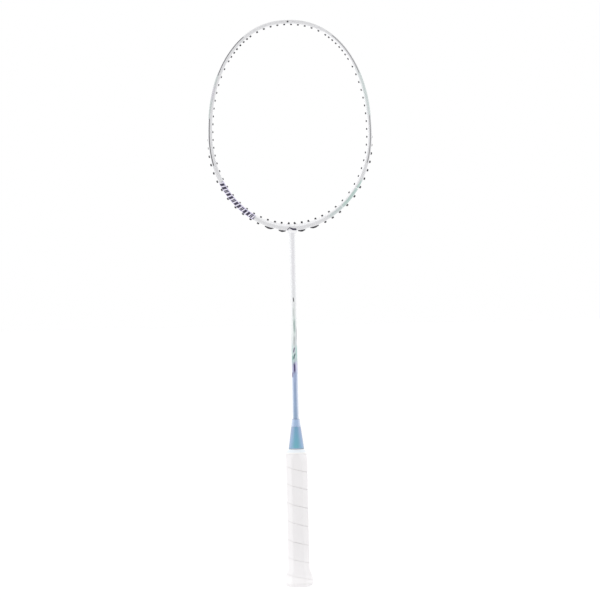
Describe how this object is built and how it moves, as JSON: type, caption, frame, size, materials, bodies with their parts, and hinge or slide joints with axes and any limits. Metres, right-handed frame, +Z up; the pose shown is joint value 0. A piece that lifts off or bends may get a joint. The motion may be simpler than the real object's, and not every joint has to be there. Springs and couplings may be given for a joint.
{
  "type": "badminton racket",
  "caption": "Unstrung badminton racket: drilled oval hoop with grommets, thin tube shaft, tapered cone and a wooden handle wound with white grip tape, flared at the butt.",
  "frame": {"origin": "middle of the flat face of the butt cap", "axes": "+Z up the racket towards the crown of the hoop, +X across the string plane to the viewer's right, the front looks along -Y"},
  "size_m": [0.1992, 0.0292, 0.6749],
  "materials": {
    "frame_paint": "pearl white lacquer over carbon fibre, with grey, mint and violet trim",
    "grommet_plastic": "black nylon",
    "joint_resin": "moulded carbon and resin, hidden inside the throat",
    "plug_rubber": "black rubber",
    "shaft_paint": "pearl lacquer over carbon fibre, white to mint to periwinkle",
    "collar_paint": "pale periwinkle lacquer",
    "cone_paint": "pearlescent teal-blue lacquer",
    "handle_wood": "bare light wood",
    "grip_tape": "soft white polyurethane grip, matt, faintly tacky",
    "band_film": "white adhesive film",
    "cap_plastic": "white moulded plastic"
  },
  "bodies": {
    "root": {"groove_grommet_right_1": "grommet_plastic", "groove_grommet_right_2": "grommet_plastic", "groove_grommet_right_3": "grommet_plastic", "groove_grommet_right_4": "grommet_plastic", "groove_grommet_right_5": "grommet_plastic", "groove_grommet_right_6": "grommet_plastic", "groove_grommet_right_7": "grommet_plastic", "groove_grommet_right_8": "grommet_plastic", "groove_grommet_right_9": "grommet_plastic", "groove_grommet_right_10": "grommet_plastic", "groove_grommet_right_11": "grommet_plastic", "flank_grommet_right_1": "grommet_plastic", "flank_grommet_right_2": "grommet_plastic", "flank_grommet_right_3": "grommet_plastic", "flank_grommet_right_4": "grommet_plastic", "flank_grommet_right_5": "grommet_plastic", "flank_grommet_right_6": "grommet_plastic", "flank_grommet_right_7": "grommet_plastic", "flank_grommet_right_8": "grommet_plastic", "flank_grommet_right_9": "grommet_plastic", "flank_grommet_right_10": "grommet_plastic", "flank_grommet_right_11": "grommet_plastic", "flank_grommet_right_12": "grommet_plastic", "throat_strip_inner_right": "grommet_plastic", "throat_strip_outer_right": "grommet_plastic", "groove_grommet_left_1": "grommet_plastic", "groove_grommet_left_2": "grommet_plastic", "groove_grommet_left_3": "grommet_plastic", "groove_grommet_left_4": "grommet_plastic", "groove_grommet_left_5": "grommet_plastic", "groove_grommet_left_6": "grommet_plastic", "groove_grommet_left_7": "grommet_plastic", "groove_grommet_left_8": "grommet_plastic", "groove_grommet_left_9": "grommet_plastic", "groove_grommet_left_10": "grommet_plastic", "groove_grommet_left_11": "grommet_plastic", "flank_grommet_left_1": "grommet_plastic", "flank_grommet_left_2": "grommet_plastic", "flank_grommet_left_3": "grommet_plastic", "flank_grommet_left_4": "grommet_plastic", "flank_grommet_left_5": "grommet_plastic", "flank_grommet_left_6": "grommet_plastic", "flank_grommet_left_7": "grommet_plastic", "flank_grommet_left_8": "grommet_plastic", "flank_grommet_left_9": "grommet_plastic", "flank_grommet_left_10": "grommet_plastic", "flank_grommet_left_11": "grommet_plastic", "flank_grommet_left_12": "grommet_plastic", "throat_strip_inner_left": "grommet_plastic", "throat_strip_outer_left": "grommet_plastic", "head_frame": "frame_paint", "t_joint": "joint_resin", "crown_plug": "plug_rubber", "shaft": "shaft_paint", "cone_collar": "collar_paint", "cone": "cone_paint", "handle_core": "handle_wood", "grip_tape": "grip_tape", "finishing_band": "band_film", "butt_cap": "cap_plastic"}
  },
  "joints": []
}
